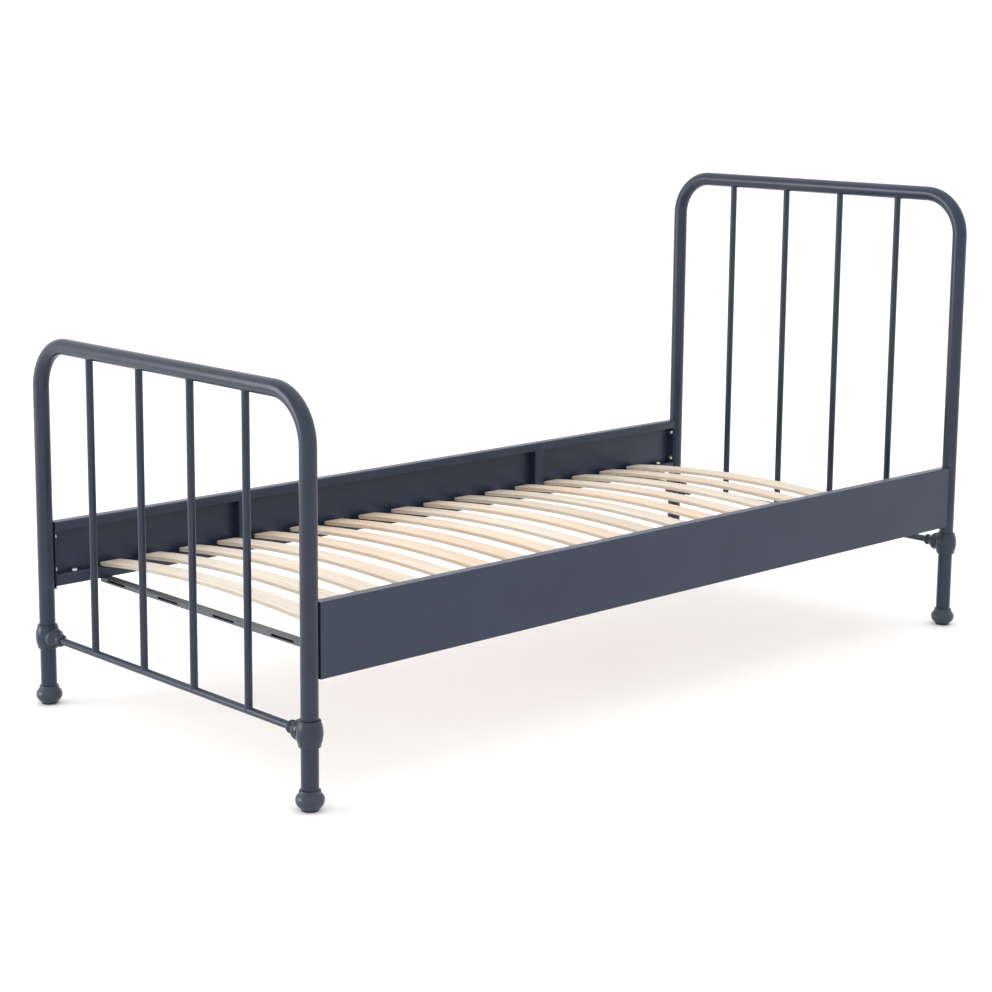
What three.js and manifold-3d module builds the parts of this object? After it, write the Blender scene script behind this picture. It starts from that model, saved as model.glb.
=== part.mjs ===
// A single metal bed frame: two bent tube ends with round feet, two folded sheet side rails with
// ledges and stiffeners, a cross bar near each end, and seventeen arched wooden slats.
// Millimetres. +X is across the bed to its right-hand side, +Y runs from the foot to the head,
// +Z is up. The origin is at the middle of the bed, on the floor.
import * as THREE from "three";
import { mergeVertices } from "three/addons/utils/BufferGeometryUtils.js";
import Module from "manifold-3d";

const wasm = await Module();
wasm.setup();

// ---- driving dimensions -------------------------------------------------------------------
const gap = 0.3; // between pieces that touch
const past = 5; // how far a cut runs past the wall it goes through
const postX = 460; // post centre from the bed's middle line
const postY = 1022.5; // post centre from the middle of the length
const footboardTop = 820;
const headboardTop = 1102;

const tubeR = 17.5;
const tubeWall = 1.5;
const bendR = 100; // at the tube's centre line
const tubeSides = 20;
const bendSteps = 8; // in a quarter turn

const rodR = 8;
const rodWall = 1;
const rodSides = 14;
const rodX = [-269.5, -88, 88, 269.5];
const footRailZ = 152.7;
const headRailZ = 211;
const railEndX = postX - 19.6; // the lower rail stops inside the collar's neck

const collarHalfHeight = 26.5;
const collarLipZ = 24; // where the rim's rounded edge starts
const collarRimR = 22.4;
const collarEndR = 21.6;
const collarBulge = 4; // the barrel's middle stands out this far past its rims
const collarSteps = 4; // in the barrel's height

const footSides = 18;
const footHeight = 42;
const stemR = 15.6;
const stemTop = 70;
const tubeBottom = footHeight + gap;

const sheet = 2;
const railWidth = 25; // centred on the posts
const railOuterX = postX + railWidth / 2;
const railInnerX = postX - railWidth / 2;
const railBottom = 256.5;
const railTop = 406.5;
const lipHeight = 20.5;
const railEndY = postY - tubeR - gap; // the end flange is bolted up against the post

const ledgeTop = 288.5;
const ledgeHeight = 25;
const ledgeEndY = railEndY - sheet - gap;

const fittingsShift = -8; // the slats and stiffeners sit this far towards the foot
const stiffenerY = 483.5; // from the middle of the fittings
const stiffenerWidth = 32;

const tabHalfWidth = 7;
const tabThickness = 3.2;
const tabTop = ledgeTop - sheet - gap;
const tabEndY = 932;

const boltZ = [298.5, 372.5];
const boltR = 4;
const boltHoleR = boltR + gap;
const boltHeadR = 7.5; // across corners
const boltHeadHeight = 5.3;
const boltTipY = 1016;
const ledgeBoltY = 951;
const ledgeBoltTip = 274;

const crossBarY = 885; // front face
const crossBarWidth = 25;
const crossBarTop = ledgeTop - ledgeHeight - gap;
const crossBarBottom = 252;
const crossBarSheet = 1.5;
const crossBarHalfLength = postX - 3; // it ends under the ledges
const slotLength = 75;
const slotHeight = 5;
const slotTop = crossBarTop - crossBarSheet - 0.5;
const slotX = [-400, -200, 0, 200, 400];

const slatCount = 17;
const slatPitch = 106.5;
const slatWidth = 53;
const slatThickness = 9;
const slatHalfLength = railInnerX + 9; // the tips rest on the ledges
const slatRise = 28;
const slatSteps = 12;

// ---- materials ----------------------------------------------------------------------------
const paint = new THREE.MeshStandardMaterial({ color: 0x474d59, roughness: 0.42, metalness: 0.35 });
const railPaint = new THREE.MeshStandardMaterial({ color: 0x474c58, roughness: 0.48, metalness: 0.3 });
const barPaint = new THREE.MeshStandardMaterial({ color: 0x575b64, roughness: 0.5, metalness: 0.3 });
const footPlastic = new THREE.MeshStandardMaterial({ color: 0x40444f, roughness: 0.5, metalness: 0 });
const zinc = new THREE.MeshStandardMaterial({ color: 0xd3d4d2, roughness: 0.3, metalness: 0.9 });
const wood = new THREE.MeshStandardMaterial({ color: 0xe2ccae, roughness: 0.6, metalness: 0 });

// ---- solids: booleans are done on closed manifolds -----------------------------------------
function solid(geometry) {
  const bare = geometry.clone();
  bare.deleteAttribute("normal");
  bare.deleteAttribute("uv");
  const merged = mergeVertices(bare, 1e-3);
  const corners = [];
  const index = merged.index.array;
  for (let i = 0; i < index.length; i += 3) {
    const [a, b, c] = [index[i], index[i + 1], index[i + 2]];
    if (a !== b && b !== c && c !== a) corners.push(a, b, c);
  }
  return new wasm.Manifold(
    new wasm.Mesh({
      numProp: 3,
      vertProperties: new Float32Array(merged.attributes.position.array),
      triVerts: new Uint32Array(corners),
    }),
  );
}

function geometryOf(body) {
  const mesh = body.getMesh();
  const geometry = new THREE.BufferGeometry();
  geometry.setAttribute("position", new THREE.BufferAttribute(mesh.vertProperties, 3));
  geometry.setIndex(new THREE.BufferAttribute(mesh.triVerts, 1));
  geometry.computeVertexNormals();
  return geometry;
}

const group = new THREE.Group();

function add(name, geometry, material) {
  const mesh = new THREE.Mesh(geometry, material.clone());
  mesh.name = name;
  group.add(mesh);
  return mesh;
}

// ---- simple shapes ------------------------------------------------------------------------
function box(x, y, z) {
  const geometry = new THREE.BoxGeometry(x[1] - x[0], y[1] - y[0], z[1] - z[0]);
  return geometry.translate((x[0] + x[1]) / 2, (y[0] + y[1]) / 2, (z[0] + z[1]) / 2);
}

// A cylinder between two values of one axis, at the other two coordinates in axis order.
function rodAlong(axis, from, to, radius, at, sides = rodSides) {
  const geometry = new THREE.CylinderGeometry(radius, radius, to - from, sides);
  const middle = (from + to) / 2;
  if (axis === "x") return geometry.rotateZ(-Math.PI / 2).translate(middle, at[0], at[1]);
  if (axis === "y") return geometry.translate(at[0], middle, at[1]);
  return geometry.rotateX(Math.PI / 2).translate(at[0], at[1], middle);
}

// A turned shape: the profile's points are [radius, height], and the axis becomes +Z.
function turned(profile, sides) {
  const points = profile.map(([r, h]) => new THREE.Vector2(r, h));
  return new THREE.LatheGeometry(points, sides).rotateX(Math.PI / 2);
}

// A profile in the X-Z plane, drawn as a closed outline, pushed along Y.
function alongY(outline, y) {
  const shape = new THREE.Shape(outline.map(([x, z]) => new THREE.Vector2(x, z)));
  const geometry = new THREE.ExtrudeGeometry(shape, { depth: y[1] - y[0], bevelEnabled: false });
  return geometry.rotateX(Math.PI / 2).translate(0, y[1], 0);
}

function mirrored(outline, side) {
  return outline.map(([x, z]) => [side * x, z]);
}

function ordered(a, b) {
  return a < b ? [a, b] : [b, a];
}

function circle(radius, sides) {
  const points = [];
  for (let i = 0; i < sides; i++) {
    const angle = (2 * Math.PI * i) / sides;
    points.push(new THREE.Vector2(radius * Math.cos(angle), radius * Math.sin(angle)));
  }
  return points;
}

function ring(outerR, innerR, sides) {
  const shape = new THREE.Shape(circle(outerR, sides));
  shape.holes.push(new THREE.Path(circle(innerR, sides).reverse()));
  return shape;
}

// ---- the bent tube ends --------------------------------------------------------------------
// A route with one extrusion step per station, so that a straight run costs a single step.
class StationRoute extends THREE.Curve {
  constructor(stations) {
    super();
    this.stations = stations;
  }

  station(u) {
    return this.stations[Math.round(u * (this.stations.length - 1))];
  }

  getPointAt(u) {
    return this.station(u).point.clone();
  }

  getTangentAt(u) {
    return this.station(u).tangent.clone();
  }
}

function archRoute(topZ, y) {
  const axisTop = topZ - tubeR;
  const up = new THREE.Vector3(0, 0, 1);
  const stations = [{ point: new THREE.Vector3(-postX, y, tubeBottom), tangent: up }];
  for (const side of [-1, 1]) {
    for (let i = 0; i <= bendSteps; i++) {
      const turn = (Math.PI / 2) * (side < 0 ? i / bendSteps : 1 - i / bendSteps);
      const x = side * (postX - bendR + bendR * Math.cos(turn));
      const z = axisTop - bendR + bendR * Math.sin(turn);
      const tangent = new THREE.Vector3(Math.sin(turn), 0, -side * Math.cos(turn));
      stations.push({ point: new THREE.Vector3(x, y, z), tangent });
    }
  }
  stations.push({ point: new THREE.Vector3(postX, y, tubeBottom), tangent: up.clone().negate() });
  return new StationRoute(stations);
}

function boltHoles(side, end, from, to) {
  const holes = boltZ.map((z) => {
    const [low, high] = ordered(end * from, end * to);
    return solid(rodAlong("y", low, high, boltHoleR, [side * postX, z]));
  });
  return holes[0].add(holes[1]);
}

function ledgeBoltHole(side, end) {
  const at = [side * postX, end * ledgeBoltY];
  return solid(rodAlong("z", ledgeBoltTip - past, ledgeTop + past, boltHoleR, at));
}

function arch(topZ, end) {
  const route = archRoute(topZ, end * postY);
  const tube = new THREE.ExtrudeGeometry(ring(tubeR, tubeR - tubeWall, tubeSides), {
    steps: route.stations.length - 1,
    extrudePath: route,
    bevelEnabled: false,
  });
  let body = solid(tube);
  for (const side of [-1, 1]) body = body.subtract(boltHoles(side, end, railEndY, postY));
  return geometryOf(body);
}

// An upright rod, shaped at both ends to the round tubes that it is welded to.
function uprightRod(x, end, railZ, topZ) {
  const height = topZ - 2 * tubeR + past - railZ;
  const bar = new THREE.ExtrudeGeometry(ring(rodR, rodR - rodWall, rodSides), {
    depth: height,
    bevelEnabled: false,
  }).translate(x, end * postY, railZ);
  const nearby = [x - 2 * rodR, x + 2 * rodR];
  const above = rodAlong("x", ...nearby, tubeR + gap, [end * postY, topZ - tubeR], tubeSides);
  const below = rodAlong("x", ...nearby, rodR + gap, [end * postY, railZ]);
  return geometryOf(solid(bar).subtract(solid(above)).subtract(solid(below)));
}

function lowerRail(end, z) {
  const bar = new THREE.ExtrudeGeometry(ring(rodR, rodR - rodWall, rodSides), {
    depth: 2 * railEndX,
    bevelEnabled: false,
  });
  return bar.rotateY(Math.PI / 2).translate(-railEndX, end * postY, z);
}

// A barrel cast round the post, with a stepped neck that the lower rail enters.
function collar(side, end, z) {
  const profile = [[0, -collarHalfHeight], [collarEndR, -collarHalfHeight]];
  for (let i = 0; i <= collarSteps; i++) {
    const part = (2 * i) / collarSteps - 1;
    profile.push([collarRimR + collarBulge * Math.cos((Math.PI / 2) * part), collarLipZ * part]);
  }
  profile.push([collarEndR, collarHalfHeight], [0, collarHalfHeight]);
  const neckProfile = [
    [0, 5], [21, 5], [20.5, 31], [16, 39.5], [11.4, 48],
    [13.4, 52.5], [13.2, 57], [10.4, 59.5], [9.6, 62], [0, 62],
  ];
  const neck = turned(neckProfile, rodSides).rotateY((-side * Math.PI) / 2);
  const neckEnd = neckProfile[neckProfile.length - 1][1];
  const reach = collarHalfHeight + past;
  const postHole = rodAlong("z", -reach, reach, tubeR + gap, [0, 0], tubeSides);
  const railHole = rodAlong("x", ...ordered(0, -side * (neckEnd + past)), rodR + gap, [0, 0]);
  const body = solid(turned(profile, tubeSides))
    .add(solid(neck))
    .subtract(solid(postHole))
    .subtract(solid(railHole));
  return geometryOf(body).translate(side * postX, end * postY, z);
}

// A bun foot on a stem that plugs into the post.
function bunFoot(side, end) {
  const profile = [
    [0, 0], [17.5, 0], [17.8, 2], [23.5, 9.5], [26.8, 14], [28.4, 20], [27.6, 27],
    [24, 34], [19.3, 39.5], [18.4, footHeight], [stemR, footHeight], [stemR, stemTop], [0, stemTop],
  ];
  return turned(profile, footSides).translate(side * postX, end * postY, 0);
}

// ---- the side rails ------------------------------------------------------------------------
// The flange that closes a rail's end, with the tab that reaches in under the ledge.
function railEnd(side, end) {
  const flange = box(
    ordered(side * (railInnerX + sheet), side * (railOuterX - sheet / 2)),
    ordered(end * (railEndY - sheet), end * railEndY),
    [railBottom, railTop - sheet / 2],
  );
  const tab = box(
    [side * postX - tabHalfWidth, side * postX + tabHalfWidth],
    ordered(end * tabEndY, end * (railEndY - sheet / 2)),
    [tabTop - tabThickness, tabTop],
  );
  return solid(flange).add(solid(tab));
}

function sideRail(side) {
  const outline = [
    [railOuterX, railBottom], [railOuterX, railTop], [railInnerX, railTop],
    [railInnerX, railTop - lipHeight], [railInnerX + sheet, railTop - lipHeight],
    [railInnerX + sheet, railTop - sheet], [railOuterX - sheet, railTop - sheet],
    [railOuterX - sheet, railBottom],
  ];
  let body = solid(alongY(mirrored(outline, side), [-railEndY, railEndY]));
  for (const end of [-1, 1]) {
    body = body.add(railEnd(side, end));
    body = body.subtract(boltHoles(side, end, railEndY - past, railEndY + past));
    body = body.subtract(ledgeBoltHole(side, end));
  }
  return geometryOf(body);
}

// An upside-down channel along the inside of the rail, which carries the slats.
function slatLedge(side) {
  const low = ledgeTop - ledgeHeight;
  const outer = railOuterX - sheet - gap;
  const outline = [
    [railInnerX, low], [railInnerX, ledgeTop], [outer, ledgeTop], [outer, low],
    [outer - sheet, low], [outer - sheet, ledgeTop - sheet],
    [railInnerX + sheet, ledgeTop - sheet], [railInnerX + sheet, low],
  ];
  const body = solid(alongY(mirrored(outline, side), [-ledgeEndY, ledgeEndY]));
  return geometryOf(body.subtract(ledgeBoltHole(side, -1)).subtract(ledgeBoltHole(side, 1)));
}

// A short channel that stands between the ledge and the rail's lip, open towards the rail.
function stiffener(side, y) {
  const outer = railOuterX - sheet - gap;
  const half = stiffenerWidth / 2;
  const shape = new THREE.Shape(
    [
      [outer, -half], [outer, -half + sheet], [railInnerX + sheet, -half + sheet],
      [railInnerX + sheet, half - sheet], [outer, half - sheet], [outer, half],
      [railInnerX, half], [railInnerX, -half],
    ].map(([px, py]) => new THREE.Vector2(side * px, py)),
  );
  const bottom = ledgeTop + gap;
  const height = railTop - lipHeight - gap - bottom;
  const geometry = new THREE.ExtrudeGeometry(shape, { depth: height, bevelEnabled: false });
  return geometry.translate(0, y, bottom);
}

// A bolt with a hexagonal head at the origin's -Z side and its shank along +Z.
function bolt(length) {
  const head = new THREE.CylinderGeometry(boltHeadR, boltHeadR, boltHeadHeight, 6);
  head.rotateX(Math.PI / 2).translate(0, 0, -boltHeadHeight / 2);
  const shank = rodAlong("z", -boltHeadHeight / 2, length, boltR, [0, 0]);
  return geometryOf(solid(head).add(solid(shank)));
}

function railBolt(side, end, z) {
  const start = railEndY - sheet - gap;
  const geometry = bolt(boltTipY - start).rotateX((-end * Math.PI) / 2);
  return geometry.translate(side * postX, end * start, z);
}

function ledgeBolt(side, end) {
  const start = ledgeTop + gap;
  const geometry = bolt(start - ledgeBoltTip).rotateX(Math.PI);
  return geometry.translate(side * postX, end * ledgeBoltY, start);
}

// ---- the cross bars and slats --------------------------------------------------------------
// A flat rectangular tube under the ledges, near one end, with long slots in its front wall.
function crossBar(end) {
  const front = end * crossBarY;
  const back = end * (crossBarY - crossBarWidth);
  const outer = box(
    [-crossBarHalfLength, crossBarHalfLength],
    ordered(front, back),
    [crossBarBottom, crossBarTop],
  );
  const bore = box(
    [-crossBarHalfLength - past, crossBarHalfLength + past],
    ordered(front - end * crossBarSheet, back + end * crossBarSheet),
    [crossBarBottom + crossBarSheet, crossBarTop - crossBarSheet],
  );
  let body = solid(outer).subtract(solid(bore));
  for (const x of slotX) {
    const cut = box(
      [x - slotLength / 2, x + slotLength / 2],
      [front - past, front + past],
      [slotTop - slotHeight, slotTop],
    );
    body = body.subtract(solid(cut));
  }
  return geometryOf(body);
}

// A slat bent upwards in a shallow arch that rests on both ledges.
function slat(y) {
  const rise = (x) => slatRise * (1 - (x / slatHalfLength) ** 2);
  const lower = [];
  const upper = [];
  for (let i = 0; i <= slatSteps; i++) {
    const x = -slatHalfLength + (2 * slatHalfLength * i) / slatSteps;
    const z = ledgeTop + gap + rise(x);
    lower.push([x, z]);
    upper.unshift([x, z + slatThickness]);
  }
  return alongY([...lower, ...upper], [y - slatWidth / 2, y + slatWidth / 2]);
}

// ---- assembly ------------------------------------------------------------------------------
const ends = [
  { name: "footboard", end: -1, topZ: footboardTop, railZ: footRailZ },
  { name: "headboard", end: 1, topZ: headboardTop, railZ: headRailZ },
];
const sides = [
  { name: "left", side: -1 },
  { name: "right", side: 1 },
];

for (const { name, end, topZ, railZ } of ends) {
  add(`${name}_arch_tube`, arch(topZ, end), paint);
  rodX.forEach((x, i) => {
    add(`${name}_upright_rod_${i + 1}`, uprightRod(x, end, railZ, topZ), paint);
  });
  add(`${name}_lower_rail`, lowerRail(end, railZ), paint);
  add(`${name}_cross_bar`, crossBar(end), barPaint);
  for (const { name: sideName, side } of sides) {
    add(`${name}_collar_${sideName}`, collar(side, end, railZ), paint);
    add(`${name}_foot_${sideName}`, bunFoot(side, end), footPlastic);
    add(`${name}_rail_bolt_${sideName}_lower`, railBolt(side, end, boltZ[0]), zinc);
    add(`${name}_rail_bolt_${sideName}_upper`, railBolt(side, end, boltZ[1]), zinc);
    add(`${name}_ledge_bolt_${sideName}`, ledgeBolt(side, end), zinc);
  }
}

for (const { name, side } of sides) {
  add(`side_rail_${name}`, sideRail(side), railPaint);
  add(`slat_ledge_${name}`, slatLedge(side), railPaint);
  add(`rail_stiffener_${name}_foot`, stiffener(side, fittingsShift - stiffenerY), railPaint);
  add(`rail_stiffener_${name}_head`, stiffener(side, fittingsShift + stiffenerY), railPaint);
}

for (let i = 0; i < slatCount; i++) {
  const y = fittingsShift + (i - (slatCount - 1) / 2) * slatPitch;
  add(`slat_${String(i + 1).padStart(2, "0")}`, slat(y), wood);
}

export default group;
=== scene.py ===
# A single metal bed frame. Each CAD node is shown by a smoother, more detailed piece of the same
# size and place. Metres, in the CAD's frame: +X to the bed's right, +Y to its head, +Z up.
import math
import random

import bmesh
import bpy
from mathutils import Matrix, Vector


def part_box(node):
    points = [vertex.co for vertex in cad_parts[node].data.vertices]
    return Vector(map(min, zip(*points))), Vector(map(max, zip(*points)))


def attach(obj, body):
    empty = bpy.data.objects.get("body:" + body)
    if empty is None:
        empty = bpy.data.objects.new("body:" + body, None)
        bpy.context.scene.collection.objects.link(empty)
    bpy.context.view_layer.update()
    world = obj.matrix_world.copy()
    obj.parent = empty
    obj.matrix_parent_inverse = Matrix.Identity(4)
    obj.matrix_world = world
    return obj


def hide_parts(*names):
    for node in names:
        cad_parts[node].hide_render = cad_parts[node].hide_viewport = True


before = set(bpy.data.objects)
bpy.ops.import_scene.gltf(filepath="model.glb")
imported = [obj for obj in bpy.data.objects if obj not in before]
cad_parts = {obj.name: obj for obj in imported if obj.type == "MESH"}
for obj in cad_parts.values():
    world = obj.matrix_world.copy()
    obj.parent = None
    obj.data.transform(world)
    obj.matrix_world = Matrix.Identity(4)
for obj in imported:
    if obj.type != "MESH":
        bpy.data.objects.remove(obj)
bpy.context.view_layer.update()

# ---- sizes that a node's box doesn't give ---------------------------------------------------
MM = 0.001
TUBE_R = 17.5 * MM
BEND_R = 100 * MM
TUBE_SIDES = 56
BEND_STEPS = 28
ROD_R = 8 * MM
ROD_SIDES = 36
WELD = 2.6 * MM  # how far a weld's fillet reaches along each of the tubes it joins
SHEET = 2 * MM
FOLD_R = 2.4 * MM  # at the middle of the sheet
EDGE = 0.35 * MM  # the softened edge of cut sheet
LIP = 20.5 * MM
TAB_HALF_WIDTH = 7 * MM
TAB_END_Y = 932 * MM
TAB_Z = (283 * MM, 286.2 * MM)
BEAD_R = 1.5 * MM
BEAD_STEPS = 14
BAR_WALL = 1.5 * MM
BAR_CORNER = 2 * MM
SLOT_X = [-400 * MM, -200 * MM, 0, 200 * MM, 400 * MM]
SLOT_LENGTH = 75 * MM
SLOT_HEIGHT = 5 * MM
SLOT_DROP = 0.5 * MM  # from the inside of the bar's top wall down to the slot
SLOT_CUT = 4 * MM  # how far the cutter reaches either side of the bar's face
BOLT_HEAD = 5.3 * MM
SLAT_COUNT = 17
SLAT_THICKNESS = 9 * MM
SLAT_ROUND = 2.2 * MM
SLAT_TIP = 0.7 * MM  # the softened end of a slat
SLAT_LAYER = 0.8 * MM
SLAT_STEPS = 40
ROD_COUNT = 4

BEVEL_ABOVE = math.radians(50)
CREASE_ABOVE = math.radians(40)
UP = Vector((0, 0, 1))

ENDS = {"footboard": -1, "headboard": 1}
SIDES = {"left": -1, "right": 1}
rng = random.Random(7)


# ---- mesh building --------------------------------------------------------------------------
class Shells:
    """The closed shells that make up one piece."""

    def __init__(self):
        self.points = []
        self.faces = []

    def ring(self, points):
        start = len(self.points)
        self.points.extend(Vector(p) for p in points)
        return list(range(start, len(self.points)))

    def skin(self, a, b):
        n = len(a)
        for i in range(n):
            j = (i + 1) % n
            self.faces.append((a[i], a[j], b[j], b[i]))

    def fan(self, ring):
        centre = sum((self.points[i] for i in ring), Vector()) / len(ring)
        middle = self.ring([centre])[0]
        for i, a in enumerate(ring):
            self.faces.append((a, ring[(i + 1) % len(ring)], middle))

    def loft(self, rings):
        """A closed skin through the rings, with a fan over each end."""
        rows = [self.ring(r) for r in rings]
        for a, b in zip(rows, rows[1:]):
            self.skin(a, b)
        self.fan(rows[0])
        self.fan(rows[-1])

    def hoop(self, rings):
        """A closed skin through the rings and back to the first one."""
        rows = [self.ring(r) for r in rings]
        for a, b in zip(rows, rows[1:] + rows[:1]):
            self.skin(a, b)

    def folded(self, front, back):
        """A sheet whose outline goes out along one side and returns along the other."""
        rows = [self.ring(front), self.ring(back)]
        self.skin(*rows)
        half = len(front) // 2
        for row in rows:
            for i in range(half - 1):
                j = len(row) - 1 - i
                self.faces.append((row[i], row[i + 1], row[j - 1], row[j]))

    def block(self, low, high):
        (x0, y0, z0), (x1, y1, z1) = low, high
        corners = [(x0, y0), (x1, y0), (x1, y1), (x0, y1)]
        rows = [self.ring([(x, y, z) for x, y in corners]) for z in (z0, z1)]
        self.skin(*rows)
        self.faces.extend(tuple(row) for row in rows)


def between(a, b):
    return (a, b) if a < b else (b, a)


def circle(centre, u, v, radius, sides):
    """Points round a circle whose plane holds the directions u and v."""
    points = []
    for i in range(sides):
        angle = 2 * math.pi * i / sides
        points.append(centre + radius * (math.cos(angle) * u + math.sin(angle) * v))
    return points


def turned_rings(profile, centre, axis, sides):
    """Rings for a turned shape: the profile's points are (radius, distance along the axis)."""
    u = axis.orthogonal().normalized()
    v = axis.cross(u)
    return [circle(centre + h * axis, u, v, r, sides) for r, h in profile]


def smooth_profile(points, steps=4):
    """A Catmull-Rom curve through the points, so that a turned shape has soft rings."""
    ends = [points[0], *points, points[-1]]
    smooth = []
    for p0, p1, p2, p3 in zip(ends, ends[1:], ends[2:], ends[3:]):
        for i in range(steps):
            t = i / steps
            smooth.append(
                tuple(
                    0.5
                    * (
                        2 * b
                        + (c - a) * t
                        + (2 * a - 5 * b + 4 * c - d) * t**2
                        + (3 * b - a - 3 * c + d) * t**3
                    )
                    for a, b, c, d in zip(p0, p1, p2, p3)
                )
            )
    smooth.append(tuple(points[-1]))
    return smooth


def in_mm(points):
    return [(a * MM, b * MM) for a, b in points]


def rounded_path(corners, radius, steps=5):
    """A flat path of straight runs, with each inner corner rounded."""
    path = [Vector(corners[0])]
    for before, corner, after in zip(corners, corners[1:], corners[2:]):
        corner = Vector(corner)
        back = (Vector(before) - corner).normalized() * radius
        on = (Vector(after) - corner).normalized() * radius
        centre = corner + back + on
        for i in range(steps + 1):
            turn = math.pi / 2 * i / steps
            path.append(centre - on * math.cos(turn) - back * math.sin(turn))
    path.append(Vector(corners[-1]))
    return path


def rounded_rectangle(low, high, radius, steps=4):
    """Points round a rectangle with rounded corners, from its two opposite corners."""
    (x0, y0), (x1, y1) = low, high
    corners = [
        (x1 - radius, y1 - radius),
        (x0 + radius, y1 - radius),
        (x0 + radius, y0 + radius),
        (x1 - radius, y0 + radius),
    ]
    points = []
    for quarter, (x, y) in enumerate(corners):
        for i in range(steps + 1):
            angle = math.pi / 2 * (quarter + i / steps)
            points.append((x + radius * math.cos(angle), y + radius * math.sin(angle)))
    return points


def sheet_outline(corners, thickness, radius=FOLD_R):
    """The outline of folded sheet: one side of the path, then the other side back."""
    path = rounded_path(corners, radius)
    outer, inner = [], []
    for i, p in enumerate(path):
        along = path[min(i + 1, len(path) - 1)] - path[max(i - 1, 0)]
        normal = Vector((-along.y, along.x)).normalized() * (thickness / 2)
        outer.append(p + normal)
        inner.append(p - normal)
    return outer + inner[::-1]


def built(name, shells, soften=0.0):
    """An object with the shells' faces turned outwards and its sharp edges bevelled by soften."""
    mesh = bpy.data.meshes.new(name)
    mesh.from_pydata(shells.points, [], shells.faces)
    bm = bmesh.new()
    bm.from_mesh(mesh)
    bmesh.ops.recalc_face_normals(bm, faces=bm.faces)
    if soften:
        sharp = [e for e in bm.edges if e.calc_face_angle(0) > BEVEL_ABOVE]
        bmesh.ops.bevel(
            bm, geom=sharp, offset=soften, segments=2, profile=0.5, affect="EDGES", clamp_overlap=True
        )
    bm.to_mesh(mesh)
    bm.free()
    made = bpy.data.objects.new(name, mesh)
    bpy.context.scene.collection.objects.link(made)
    return made


def finished(name, shells, material, node, soften=0.0):
    """Makes the piece, shades it, hangs it under the root body and hides the CAD node that it stands
    for.
    """
    piece = built(name, shells, soften)
    piece.data.shade_smooth()
    piece.data.set_sharp_from_angle(angle=CREASE_ABOVE)
    piece.data.materials.append(material)
    if soften:
        weighted = piece.modifiers.new("flat_faces", "WEIGHTED_NORMAL")
        weighted.keep_sharp = True
    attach(piece, "root")
    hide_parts(node)
    return piece


# ---- materials ------------------------------------------------------------------------------
WHITE = (1, 1, 1)


class Nodes:
    """A small helper round one material's node tree."""

    def __init__(self, name):
        self.material = bpy.data.materials.new(name)
        self.material.use_nodes = True
        self.tree = self.material.node_tree
        self.shader = self.tree.nodes["Principled BSDF"]
        self.place = self.add("ShaderNodeTexCoord").outputs["Object"]

    def add(self, kind, **settings):
        node = self.tree.nodes.new(kind)
        for key, value in settings.items():
            setattr(node, key, value)
        return node

    def link(self, source, target):
        self.tree.links.new(source, target)

    def set(self, **values):
        for key, value in values.items():
            self.shader.inputs[key.replace("_", " ")].default_value = value

    def stretched(self, scale):
        mapping = self.add("ShaderNodeMapping")
        mapping.inputs["Scale"].default_value = scale
        self.link(self.place, mapping.inputs["Vector"])
        return mapping.outputs["Vector"]

    def noise(self, scale, detail=3.0, stretch=None):
        noise = self.add("ShaderNodeTexNoise")
        noise.inputs["Scale"].default_value = scale
        noise.inputs["Detail"].default_value = detail
        self.link(self.stretched(stretch) if stretch else self.place, noise.inputs["Vector"])
        return noise.outputs["Fac"]

    def ramp(self, value, stops):
        ramp = self.add("ShaderNodeValToRGB")
        elements = ramp.color_ramp.elements
        while len(elements) < len(stops):
            elements.new(0.5)
        for element, (position, colour) in zip(elements, stops):
            element.position = position
            element.color = (*colour, 1)
        self.link(value, ramp.inputs["Fac"])
        return ramp.outputs["Color"]

    def remap(self, value, low, high):
        remap = self.add("ShaderNodeMapRange")
        remap.inputs["From Min"].default_value = 0.3
        remap.inputs["From Max"].default_value = 0.7
        remap.inputs["To Min"].default_value = low
        remap.inputs["To Max"].default_value = high
        self.link(value, remap.inputs["Value"])
        return remap.outputs["Result"]

    def math(self, operation, a, b):
        node = self.add("ShaderNodeMath", operation=operation)
        for socket, value in zip(node.inputs, (a, b)):
            if isinstance(value, (int, float)):
                socket.default_value = value
            else:
                self.link(value, socket)
        return node.outputs["Value"]

    def multiply(self, a, b, factor=1.0):
        mix = self.add("ShaderNodeMix", data_type="RGBA", blend_type="MULTIPLY")
        mix.inputs["Factor"].default_value = factor
        self.link(a, mix.inputs["A"])
        self.link(b, mix.inputs["B"])
        return mix.outputs["Result"]

    def bump(self, height, strength, distance):
        bump = self.add("ShaderNodeBump")
        bump.inputs["Strength"].default_value = strength
        bump.inputs["Distance"].default_value = distance
        self.link(height, bump.inputs["Height"])
        self.link(bump.outputs["Normal"], self.shader.inputs["Normal"])


def coat_paint(name, dark, light, roughness, peel):
    """Satin powder coat: a faint drift in colour and gloss, and a fine orange peel."""
    nodes = Nodes(name)
    drift = nodes.ramp(nodes.noise(9, 4), [(0.3, dark), (0.7, light)])
    nodes.link(drift, nodes.shader.inputs["Base Color"])
    nodes.link(nodes.remap(nodes.noise(60, 3), *roughness), nodes.shader.inputs["Roughness"])
    nodes.set(Specular_IOR_Level=0.37)
    nodes.bump(nodes.noise(420, 1), peel, 0.1 * MM)
    return nodes.material


def moulded_plastic(name):
    nodes = Nodes(name)
    tone = nodes.ramp(nodes.noise(40, 4), [(0.3, (0.016, 0.024, 0.043)), (0.7, (0.021, 0.03, 0.052))])
    nodes.link(tone, nodes.shader.inputs["Base Color"])
    nodes.link(nodes.remap(nodes.noise(300, 2), 0.3, 0.38), nodes.shader.inputs["Roughness"])
    nodes.bump(nodes.noise(1500, 2), 0.12, 0.15 * MM)
    return nodes.material


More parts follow.
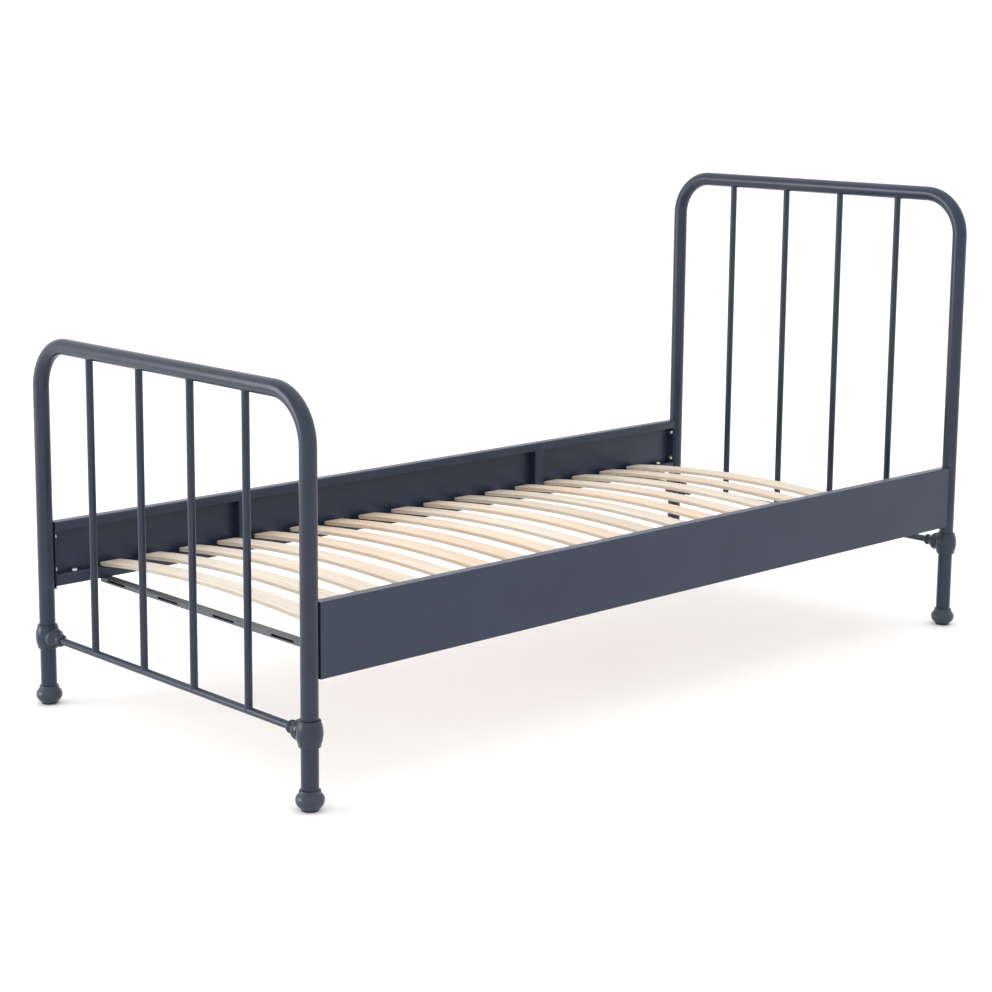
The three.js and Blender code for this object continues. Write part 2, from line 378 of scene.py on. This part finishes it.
def zinc_plate(name):
    nodes = Nodes(name)
    tone = nodes.ramp(nodes.noise(350, 4), [(0.3, (0.58, 0.59, 0.6)), (0.7, (0.74, 0.74, 0.72))])
    nodes.link(tone, nodes.shader.inputs["Base Color"])
    nodes.link(nodes.remap(nodes.noise(900, 3), 0.22, 0.38), nodes.shader.inputs["Roughness"])
    nodes.set(Metallic=1.0)
    nodes.bump(nodes.noise(1800, 2), 0.1, 0.1 * MM)
    return nodes.material


def laminate_layers(nodes, across_position, up_position, half_length, rise, base):
    """The thin layers that show on a slat's edges, following its arch."""
    across = nodes.math("DIVIDE", across_position, half_length)
    arch = nodes.math("MULTIPLY", nodes.math("MULTIPLY", across, across), rise)
    height = nodes.math("ADD", nodes.math("SUBTRACT", up_position, base + rise), arch)
    layer = nodes.math("DIVIDE", nodes.math("PINGPONG", height, SLAT_LAYER), SLAT_LAYER)
    return nodes.ramp(layer, [(0.1, (0.8, 0.76, 0.7)), (0.4, WHITE)])


def tone_of_each_slat(nodes, along_position, pitch):
    """A slightly warmer or cooler tone for each slat, by its place along the bed."""
    number = nodes.math("ROUND", nodes.math("DIVIDE", along_position, pitch), 0)
    chance = nodes.add("ShaderNodeTexWhiteNoise", noise_dimensions="1D")
    nodes.link(number, chance.inputs["W"])
    warm, cool = (1, 0.935, 0.865), (0.95, 0.98, 0.985)
    return nodes.ramp(chance.outputs["Value"], [(0.1, warm), (0.5, WHITE), (0.9, cool)])


def painted_shade_on_long_edges(nodes):
    """Painted shade: darker where a face looks along the bed, which is a slat's long edge, so these
    edges read as shaded against the tops.
    """
    facing = nodes.add("ShaderNodeSeparateXYZ")
    nodes.link(nodes.add("ShaderNodeTexCoord").outputs["Normal"], facing.inputs["Vector"])
    along = nodes.math("ABSOLUTE", facing.outputs["Y"], 0)
    # the colour of the painted shade on the long edges
    return nodes.ramp(along, [(0.5, WHITE), (0.9, (0.74, 0.72, 0.685))])


def slat_wood(name, half_length, rise, base, pitch):
    """Pale laminate, with long fibres along the slat, and painted shade on its long edges."""
    nodes = Nodes(name)
    split = nodes.add("ShaderNodeSeparateXYZ")
    nodes.link(nodes.place, split.inputs["Vector"])
    x, y, z = (split.outputs[axis] for axis in "XYZ")
    tone = nodes.ramp(
        nodes.noise(1, 3, (1.3, 11, 11)),
        [(0.3, (0.69, 0.575, 0.465)), (0.5, (0.755, 0.655, 0.555)), (0.7, (0.8, 0.725, 0.64))],
    )
    fibre = nodes.ramp(nodes.noise(1, 6, (14, 420, 420)), [(0.35, (0.88, 0.855, 0.82)), (0.62, WHITE)])
    figure = nodes.ramp(nodes.noise(1, 5, (4, 75, 75)), [(0.36, (0.92, 0.885, 0.84)), (0.58, WHITE)])
    grain = nodes.multiply(nodes.multiply(tone, fibre), figure)
    colour = nodes.multiply(grain, tone_of_each_slat(nodes, y, pitch))
    layers = laminate_layers(nodes, x, z, half_length, rise, base)
    layered = nodes.multiply(colour, layers, 0.55)
    # the slats' long edges get painted shade here, darker than the tops
    nodes.link(nodes.multiply(layered, painted_shade_on_long_edges(nodes)), nodes.shader.inputs["Base Color"])
    gloss = nodes.remap(nodes.noise(1, 3, (20, 260, 260)), 0.5, 0.64)
    nodes.link(gloss, nodes.shader.inputs["Roughness"])
    nodes.bump(nodes.noise(1, 5, (22, 640, 640)), 0.16, 0.2 * MM)
    return nodes.material


def pale_floor(name):
    nodes = Nodes(name)
    tone = nodes.ramp(nodes.noise(2, 3), [(0.3, (0.93, 0.93, 0.93)), (0.7, (0.95, 0.95, 0.95))])
    nodes.link(tone, nodes.shader.inputs["Base Color"])
    nodes.set(Roughness=0.9)
    return nodes.material


# ---- the tube ends --------------------------------------------------------------------------
def arch_rings(x, y, top, bottom):
    """Rings along the bent tube, from the left post's foot over to the right post's foot."""
    ahead = Vector((0, 1, 0))
    axis_top = top - TUBE_R
    stations = [(Vector((-x, y, bottom)), Vector((0, 0, 1)))]
    for side in (-1, 1):
        for i in range(BEND_STEPS + 1):
            part = i / BEND_STEPS if side < 0 else 1 - i / BEND_STEPS
            turn = math.pi / 2 * part
            place = Vector(
                (
                    side * (x - BEND_R + BEND_R * math.cos(turn)),
                    y,
                    axis_top - BEND_R + BEND_R * math.sin(turn),
                )
            )
            stations.append((place, Vector((math.sin(turn), 0, -side * math.cos(turn)))))
    stations.append((Vector((x, y, bottom)), Vector((0, 0, -1))))
    return [circle(p, ahead, t.cross(ahead), TUBE_R, TUBE_SIDES) for p, t in stations]


def weld_bead(shells, x, y, z):
    """A slightly uneven bead of weld across a tab, where it meets the rail's end."""
    rings = []
    for i in range(BEAD_STEPS + 1):
        across = x[0] + (x[1] - x[0]) * i / BEAD_STEPS
        radius = BEAD_R * (1 + 0.12 * math.sin(i * 2.1) + rng.uniform(-0.06, 0.06))
        rings.append(circle(Vector((across, y, z)), Vector((0, 1, 0)), UP, radius, 12))
    shells.loft(rings)


def arch(name, material):
    """One bent tube, which makes both posts and the top of an end."""
    low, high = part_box(f"{name}_arch_tube")
    x, y = post_place(name)
    tube = Shells()
    tube.loft(arch_rings(x, y, high.z, low.z))
    finished(f"{name}_arch_tube.look", tube, material, f"{name}_arch_tube", EDGE)


def post_place(name):
    """How far the posts stand from the middle in X, and the Y that they stand at."""
    low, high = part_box(f"{name}_foot_right")
    centre = (low + high) / 2
    return centre.x, centre.y


def weld_height(distance, angle, tube_r):
    """How far below a tube's axis its skin is, at this place round a rod that meets it."""
    aside = distance * math.sin(angle)
    return math.sqrt(max(tube_r**2 - aside**2, 0))


def weld_rings(x, y, axis_z, tube_r, up):
    """Rings that flare a rod into the tube it meets. up is 1 at a tube above, -1 at one below."""
    steps = 6
    rings = []
    for i in range(steps + 1):
        t = i / steps
        ring = []
        for k in range(ROD_SIDES):
            angle = 2 * math.pi * k / ROD_SIDES
            reach = WELD * (math.cos(angle) ** 2 if tube_r <= ROD_R else 1)
            near = weld_height(ROD_R, angle, tube_r)
            far = weld_height(ROD_R + reach, angle, tube_r)
            start = (ROD_R, near + WELD)
            corner = (ROD_R, near)
            finish = (ROD_R + reach, far - 0.4 * MM)
            radius, below = (
                (1 - t) ** 2 * a + 2 * t * (1 - t) * b + t**2 * c
                for a, b, c in zip(start, corner, finish)
            )
            ring.append(
                Vector((x + radius * math.cos(angle), y + radius * math.sin(angle), axis_z - up * below))
            )
        rings.append(ring)
    return rings


def upright(name, number, material):
    node = f"{name}_upright_rod_{number}"
    low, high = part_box(node)
    x, y = (low.x + high.x) / 2, (low.y + high.y) / 2
    rail_low, rail_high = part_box(f"{name}_lower_rail")
    top_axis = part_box(f"{name}_arch_tube")[1].z - TUBE_R
    rail_axis = (rail_low.z + rail_high.z) / 2
    rod = Shells()
    bottom = weld_rings(x, y, rail_axis, ROD_R, -1)
    top = weld_rings(x, y, top_axis, TUBE_R, 1)
    rod.loft([*reversed(bottom), *top])
    finished(f"{node}.look", rod, material, node)


def lower_rail(name, material):
    node = f"{name}_lower_rail"
    low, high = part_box(node)
    centre = (low + high) / 2
    profile = [(ROD_R, low.x), (ROD_R, high.x)]
    rail = Shells()
    rail.loft(
        turned_rings(profile, Vector((0, centre.y, centre.z)), Vector((1, 0, 0)), ROD_SIDES)
    )
    finished(f"{node}.look", rail, material, node)


def collar(name, side_name, material):
    """A cast barrel round the post, with a ringed neck that the lower rail enters."""
    node = f"{name}_collar_{side_name}"
    x, y = post_place(name)
    side = SIDES[side_name]
    rail_low, rail_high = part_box(f"{name}_lower_rail")
    centre = Vector((side * x, y, (rail_low.z + rail_high.z) / 2))
    half = [
        (17.7, 26.2), (19.6, 26.5), (21.4, 26.2), (22.3, 25.0), (22.5, 23.4), (22.3, 22.2),
        (22.9, 20.6), (24.5, 15.5), (25.9, 8.5), (26.4, 0),
    ]
    outer = smooth_profile(in_mm(half + [(r, -h) for r, h in half[-2::-1]]), 3)
    bore = in_mm([(17.7, -26.2), (17.7, 26.2)])
    neck = smooth_profile(
        in_mm(
            [
                (8.2, 61.4), (9.6, 61.2), (10.7, 59.6), (12.6, 57.9), (13.7, 55.2), (13.4, 52.4),
                (11.9, 50.0), (11.3, 48.0), (12.4, 45.2), (15.2, 41.0), (17.4, 37.6), (18.6, 35.0),
                (20.6, 33.4), (21.3, 31.0), (21.2, 28.4), (20.3, 26.4), (20.2, 22.0), (20.0, 19.0),
            ]
        ),
        3,
    )
    neck_bore = in_mm([(8.2, 19.0), (8.2, 61.4)])
    cast = Shells()
    cast.hoop(turned_rings(outer + bore[1:-1], centre, UP, 64))
    cast.hoop(turned_rings(neck + neck_bore[:-1], centre, Vector((-side, 0, 0)), 56))
    finished(f"{node}.look", cast, material, node)


def bun_foot(name, side_name, material):
    node = f"{name}_foot_{side_name}"
    low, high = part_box(node)
    centre = (low + high) / 2
    profile = [
        (15.6, 0), (17.1, 0.5), (17.6, 1.8), (17.7, 3.6), (19.2, 5.2), (22.4, 7.8), (25.4, 11.3),
        (27.5, 15.3), (28.4, 19.8), (28.1, 24.4), (26.5, 28.8), (24.0, 32.2), (22.1, 34.2),
        (21.3, 35.6), (21.5, 37.4), (21.4, 39.3), (20.4, 41.1), (18.6, 42.0), (16.4, 42.0),
    ]
    foot = Shells()
    base = Vector((centre.x, centre.y, low.z))
    foot.loft(turned_rings(smooth_profile(in_mm(profile)), base, UP, 64))
    finished(f"{node}.look", foot, material, node)


# ---- the folded sheet -----------------------------------------------------------------------
def pushed_along_y(shells, outline, y):
    shells.folded(*([(x, at, z) for x, z in outline] for at in y))


def side_rail(side_name, material):
    node = f"side_rail_{side_name}"
    side = SIDES[side_name]
    low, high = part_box("side_rail_right")
    skin = SHEET / 2
    section = [
        (low.x + skin, high.z - LIP),
        (low.x + skin, high.z - skin),
        (high.x - skin, high.z - skin),
        (high.x - skin, low.z),
    ]
    rail = Shells()
    outline = [(side * p.x, p.y) for p in sheet_outline(section, SHEET)]
    pushed_along_y(rail, outline, (low.y, high.y))
    flange_x = between(side * (low.x + SHEET), side * (high.x - skin))
    middle = side * (low.x + high.x) / 2
    tab_x = (middle - TAB_HALF_WIDTH, middle + TAB_HALF_WIDTH)
    for end in ENDS.values():
        inner = end * (high.y - SHEET)
        flange_y = between(inner, end * high.y)
        rail.block((flange_x[0], flange_y[0], low.z), (flange_x[1], flange_y[1], high.z - skin))
        tab_y = between(end * TAB_END_Y, inner + end * skin)
        rail.block((tab_x[0], tab_y[0], TAB_Z[0]), (tab_x[1], tab_y[1], TAB_Z[1]))
        weld_bead(rail, tab_x, inner, TAB_Z[0])
    finished(f"{node}.look", rail, material, node, EDGE)


def slat_ledge(side_name, material):
    node = f"slat_ledge_{side_name}"
    side = SIDES[side_name]
    low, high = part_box("slat_ledge_right")
    skin = SHEET / 2
    section = [
        (low.x + skin, low.z),
        (low.x + skin, high.z - skin),
        (high.x - skin, high.z - skin),
        (high.x - skin, low.z),
    ]
    ledge = Shells()
    outline = [(side * p.x, p.y) for p in sheet_outline(section, SHEET)]
    pushed_along_y(ledge, outline, (low.y, high.y))
    finished(f"{node}.look", ledge, material, node, EDGE)


def stiffener(side_name, end_name, material):
    node = f"rail_stiffener_{side_name}_{end_name}"
    side = SIDES[side_name]
    low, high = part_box(node)
    skin = SHEET / 2
    inner, outer = (low.x, high.x) if side > 0 else (-high.x, -low.x)
    section = [
        (outer, low.y + skin),
        (inner + skin, low.y + skin),
        (inner + skin, high.y - skin),
        (outer, high.y - skin),
    ]
    channel = Shells()
    outline = [(side * p.x, p.y) for p in sheet_outline(section, SHEET)]
    channel.folded(*([(x, y, z) for x, y in outline] for z in (low.z, high.z)))
    finished(f"{node}.look", channel, material, node, EDGE)


def slot_cutter(high, y):
    """Round-ended prisms that cut the long slots through the bar's front wall."""
    radius = SLOT_HEIGHT / 2 * 0.999  # a hair under half, so that the two corners don't merge
    top = high.z - BAR_WALL - SLOT_DROP
    cutter = Shells()
    for x in SLOT_X:
        ends = (x - SLOT_LENGTH / 2, top - SLOT_HEIGHT), (x + SLOT_LENGTH / 2, top)
        outline = rounded_rectangle(*ends, radius, 8)
        cutter.loft([[(px, at, pz) for px, pz in outline] for at in y])
    return built("slot_cutter", cutter)


def cross_bar(name, end, material):
    """A flat tube across the bed, with long slots in the wall that faces away from the slats."""
    node = f"{name}_cross_bar"
    low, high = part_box(node)
    outer = rounded_rectangle((low.y, low.z), (high.y, high.z), BAR_CORNER)
    bore = rounded_rectangle(
        (low.y + BAR_WALL, low.z + BAR_WALL),
        (high.y - BAR_WALL, high.z - BAR_WALL),
        BAR_CORNER - BAR_WALL,
    )
    rings = [(outer, low.x), (outer, high.x), (bore, high.x), (bore, low.x)]
    bar = Shells()
    bar.hoop([[(x, y, z) for y, z in outline] for outline, x in rings])
    piece = finished(f"{node}.look", bar, material, node)
    front = high.y if end > 0 else low.y
    tool = slot_cutter(high, between(front - end * SLOT_CUT, front + end * SLOT_CUT))
    cut = piece.modifiers.new("slots", "BOOLEAN")
    cut.object = tool
    cut.solver = "EXACT"
    view = bpy.context.evaluated_depsgraph_get()
    mesh = bpy.data.meshes.new_from_object(piece.evaluated_get(view))
    piece.modifiers.clear()
    piece.data = mesh
    mesh.set_sharp_from_angle(angle=CREASE_ABOVE)
    bpy.data.objects.remove(tool)


# ---- bolts and slats ------------------------------------------------------------------------
def bolt(node, start, axis, tip, material):
    """A flanged hexagon-headed bolt. axis points from the head to the tip."""
    u = axis.orthogonal().normalized()
    v = axis.cross(u)
    screw = Shells()
    washer = smooth_profile(in_mm([(7.3, -1.3), (7.5, -0.8), (7.5, -0.3), (7.2, 0)]), 2)
    screw.loft(turned_rings(washer, start, axis, 36))
    head = in_mm([(4.9, -5.3), (5.6, -5.1), (6.3, -4.5), (6.3, -1.0)])
    screw.loft([circle(start + h * axis, u, v, r, 6) for r, h in head])
    shank = [(4 * MM, -1 * MM), (4 * MM, tip - 1 * MM), (3.2 * MM, tip)]
    screw.loft(turned_rings(shank, start, axis, 24))
    finished(f"{node}.look", screw, material, node, 0.2 * MM)


def node_bolt(node, axis, material):
    """Puts a bolt where the CAD one is, its head at the end that axis points away from."""
    low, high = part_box(node)
    centre = (low + high) / 2
    half = (high - low).dot(Vector(map(abs, axis))) / 2
    start = centre - axis * (half - BOLT_HEAD)
    bolt(node, start, axis, 2 * half - BOLT_HEAD, material)


def slat(number, material):
    """A laminated slat, rounded along its edges and bent into a shallow arch."""
    node = f"slat_{number:02d}"
    low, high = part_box(node)
    rise = high.z - low.z - SLAT_THICKNESS
    half_length, half_width = high.x, (high.y - low.y) / 2
    middle_y = (low.y + high.y) / 2
    section = rounded_rectangle((-half_width, 0), (half_width, SLAT_THICKNESS), SLAT_ROUND)
    places = [half_length * (2 * i / SLAT_STEPS - 1) for i in range(SLAT_STEPS + 1)]
    tips = [half_length - SLAT_TIP, half_length - 0.2 * MM]
    places = [-half_length, *(-t for t in reversed(tips)), *places[1:-1], *tips, half_length]
    rings = []
    for x in places:
        inset = max(0.0, SLAT_TIP - (half_length - abs(x)))
        lift = rise * (1 - (x / half_length) ** 2)
        squeeze_y = 1 - inset / half_width
        squeeze_z = 1 - 2 * inset / SLAT_THICKNESS
        rings.append(
            [
                (
                    x,
                    middle_y + y * squeeze_y,
                    low.z + lift + SLAT_THICKNESS / 2 + (z - SLAT_THICKNESS / 2) * squeeze_z,
                )
                for y, z in section
            ]
        )
    board = Shells()
    board.loft(rings)
    finished(f"{node}.look", board, material, node)


# ---- the scene ------------------------------------------------------------------------------
CAMERA_PLACE = (3.5639, -3.4814, 1.4363)
CAMERA_YAW = 46.582
CAMERA_PITCH = -9.943
CAMERA_ROLL = 0.514
CAMERA_LENS = 78.77
CAMERA_SHIFT_Y = -0.07
WORLD_STRENGTH = 1.24
FLOOR_REACH = 40


def camera():
    data = bpy.data.cameras.new("camera")
    data.lens = CAMERA_LENS
    data.sensor_width = 36
    data.shift_y = CAMERA_SHIFT_Y
    data.clip_end = 100
    view = bpy.data.objects.new("camera", data)
    turn = (
        Matrix.Rotation(math.radians(CAMERA_YAW), 4, "Z")
        @ Matrix.Rotation(math.radians(90 + CAMERA_PITCH), 4, "X")
        @ Matrix.Rotation(math.radians(CAMERA_ROLL), 4, "Z")
    )
    view.matrix_world = Matrix.Translation(CAMERA_PLACE) @ turn
    bpy.context.scene.collection.objects.link(view)
    bpy.context.scene.camera = view


def soft_light(name, place, aim, size, power):
    data = bpy.data.lights.new(name, "AREA")
    data.shape = "RECTANGLE"
    data.size, data.size_y = size
    data.energy = power
    light = bpy.data.objects.new(name, data)
    light.location = place
    light.visible_camera = False
    light.rotation_euler = (Vector(aim) - Vector(place)).to_track_quat("-Z", "Y").to_euler()
    bpy.context.scene.collection.objects.link(light)


def studio():
    world = bpy.data.worlds.new("studio")
    world.use_nodes = True
    background = world.node_tree.nodes["Background"]
    background.inputs["Color"].default_value = (1, 1, 1, 1)
    background.inputs["Strength"].default_value = WORLD_STRENGTH
    bpy.context.scene.world = world
    soft_light("overhead", (0, 0, 4.2), (0, 0, 0), (4.5, 4.5), 25)
    soft_light("card", (-4.6, -7.0, 1.7), (0, 0, 0.6), (4, 4.4), 330)
    floor_plane()


def floor_plane():
    mesh = bpy.data.meshes.new("floor")
    r = FLOOR_REACH
    corners = [(-r, -r, 0), (r, -r, 0), (r, r, 0), (-r, r, 0)]
    mesh.from_pydata(corners, [], [(0, 1, 2, 3)])
    mesh.materials.append(pale_floor("floor"))
    floor = bpy.data.objects.new("floor", mesh)
    bpy.context.scene.collection.objects.link(floor)


def wood_of_slats():
    low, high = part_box("slat_01")
    rise = high.z - low.z - SLAT_THICKNESS
    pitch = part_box("slat_02")[0].y - low.y
    return slat_wood("slat_wood", high.x, rise, low.z, pitch)


# Each paint's darker and lighter tone, its range of roughness, and its orange peel.
PAINTS = {
    "tube_paint": ((0.013, 0.02, 0.04), (0.017, 0.026, 0.049), (0.22, 0.27), 0.04),
    "cast_paint": ((0.014, 0.022, 0.042), (0.019, 0.028, 0.05), (0.24, 0.3), 0.08),
    "sheet_paint": ((0.014, 0.024, 0.05), (0.019, 0.03, 0.06), (0.31, 0.37), 0.02),
    "bar_paint": ((0.085, 0.096, 0.113), (0.1, 0.112, 0.13), (0.3, 0.4), 0.04),
}


def bed_end(name, end, paints, plastic, zinc):
    arch(name, paints["tube_paint"])
    lower_rail(name, paints["tube_paint"])
    cross_bar(name, end, paints["bar_paint"])
    for number in range(1, ROD_COUNT + 1):
        upright(name, number, paints["tube_paint"])
    for side_name in SIDES:
        collar(name, side_name, paints["cast_paint"])
        bun_foot(name, side_name, plastic)
        for level in ("lower", "upper"):
            node_bolt(f"{name}_rail_bolt_{side_name}_{level}", Vector((0, end, 0)), zinc)
        node_bolt(f"{name}_ledge_bolt_{side_name}", -UP, zinc)


def bed_side(side_name, sheet_paint):
    side_rail(side_name, sheet_paint)
    slat_ledge(side_name, sheet_paint)
    for end_name in ("foot", "head"):
        stiffener(side_name, end_name, sheet_paint)


def bed():
    paints = {name: coat_paint(name, *look) for name, look in PAINTS.items()}
    plastic = moulded_plastic("foot_plastic")
    zinc = zinc_plate("zinc")
    wood = wood_of_slats()
    for name, end in ENDS.items():
        bed_end(name, end, paints, plastic, zinc)
    for side_name in SIDES:
        bed_side(side_name, paints["sheet_paint"])
    for number in range(1, SLAT_COUNT + 1):
        slat(number, wood)


bpy.context.scene.view_settings.view_transform = "Standard"
bed()
studio()
camera()
